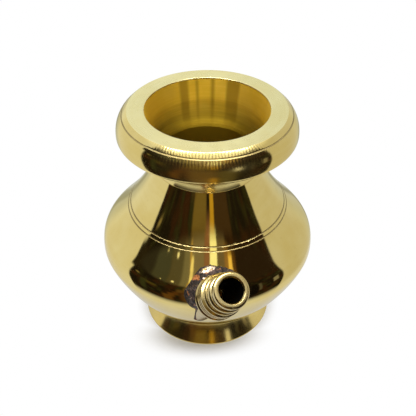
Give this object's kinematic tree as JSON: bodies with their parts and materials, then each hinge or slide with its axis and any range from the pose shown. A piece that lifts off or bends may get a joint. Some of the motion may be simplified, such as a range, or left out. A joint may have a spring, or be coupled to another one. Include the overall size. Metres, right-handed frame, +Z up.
{
  "type": "spouted pot",
  "caption": "Small turned brass pot with a thick cupped mouth ring, narrow neck, round belly, flared foot and a short ringed pouring spout.",
  "frame": {"origin": "on the table, under the middle of the bounding box, 7.9 mm in front of the vessel's own axis", "axes": "+Z up along the vessel's axis, -Y towards the spout, +X to the right of the spout"},
  "size_m": [0.0778, 0.0936, 0.09],
  "materials": {
    "satin_brass": "fine turned satin on the flat top and in the mouth, polished on the band",
    "polished_brass": "polished, with faint turning lines and light tarnish",
    "aged_brass": "turned and left dull, darker in the grooves",
    "braze_filler": "rough oxidised filler with brighter spots"
  },
  "bodies": {
    "root": {"mouth_rim": "satin_brass", "belly_shell": "polished_brass", "bowl_base": "polished_brass", "foot_ring": "polished_brass", "spout_nozzle": "aged_brass", "spout_braze": "braze_filler", "neck_braze": "braze_filler", "belly_braze": "braze_filler", "foot_braze": "braze_filler"}
  },
  "joints": []
}
